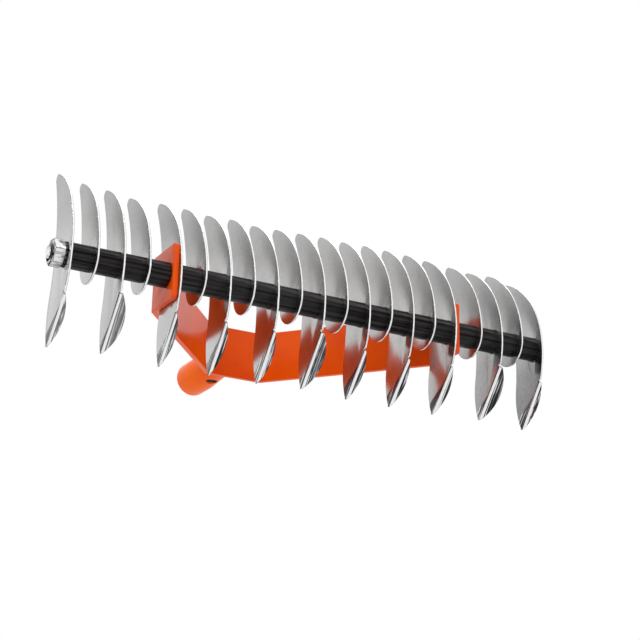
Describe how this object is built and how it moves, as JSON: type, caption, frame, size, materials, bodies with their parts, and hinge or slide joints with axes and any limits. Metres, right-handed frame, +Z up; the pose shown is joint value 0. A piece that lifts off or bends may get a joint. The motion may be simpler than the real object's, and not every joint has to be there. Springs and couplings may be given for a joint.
{
  "type": "lawn aerator rake head",
  "caption": "Lawn aerator head: alternating long and short crescent blades on a clamped rod with spacers, in an orange strap bracket with a handle socket.",
  "frame": {"origin": "centre of the handle socket's mouth, on its bore axis", "axes": "+Y out of the socket along the handle, +X along the blade rod, +Z up, away from the long blade tips"},
  "size_m": [0.395, 0.2311, 0.1294],
  "materials": {
    "blade_steel": "bright satin",
    "bright_zinc": "bright zinc plate",
    "black_spacer": "gloss black",
    "orange_paint": "gloss enamel"
  },
  "bodies": {
    "bracket": {"bracket_strap": "orange_paint", "handle_socket": "orange_paint", "socket_weld": "orange_paint"},
    "blade_gang": {"rod": "bright_zinc", "toothed_washer": "bright_zinc", "long_blade_01": "blade_steel", "short_blade_02": "blade_steel", "long_blade_03": "blade_steel", "short_blade_04": "blade_steel", "long_blade_05": "blade_steel", "short_blade_06": "blade_steel", "long_blade_07": "blade_steel", "short_blade_08": "blade_steel", "long_blade_09": "blade_steel", "short_blade_10": "blade_steel", "long_blade_11": "blade_steel", "short_blade_12": "blade_steel", "long_blade_13": "blade_steel", "short_blade_14": "blade_steel", "long_blade_15": "blade_steel", "short_blade_16": "blade_steel", "long_blade_17": "blade_steel", "short_blade_18": "blade_steel", "long_blade_19": "blade_steel", "short_blade_20": "blade_steel", "long_blade_21": "blade_steel", "spacer_01": "black_spacer", "spacer_02": "black_spacer", "spacer_03": "black_spacer", "spacer_04": "black_spacer", "spacer_05": "black_spacer", "spacer_06": "black_spacer", "spacer_07": "black_spacer", "spacer_08": "black_spacer", "spacer_09": "black_spacer", "spacer_10": "black_spacer", "spacer_11": "black_spacer", "spacer_12": "black_spacer", "spacer_13": "black_spacer", "spacer_14": "black_spacer", "spacer_15": "black_spacer", "spacer_16": "black_spacer", "spacer_17": "black_spacer", "spacer_18": "black_spacer", "spacer_19": "black_spacer", "spacer_20": "black_spacer"},
    "nut": {"rod_nut": "bright_zinc"}
  },
  "joints": [
    {"name": "blade_tilt", "type": "hinge", "parent": "bracket", "child": "blade_gang", "pos_m": [0, -0.217, -0.001], "axis": [1, 0, 0], "range_deg": [-4, 4]},
    {"name": "nut_turn", "type": "hinge", "parent": "blade_gang", "child": "nut", "pos_m": [-0.19525, -0.217, -0.001], "axis": [-1, 0, 0], "range_deg": [0, 180]}
  ]
}
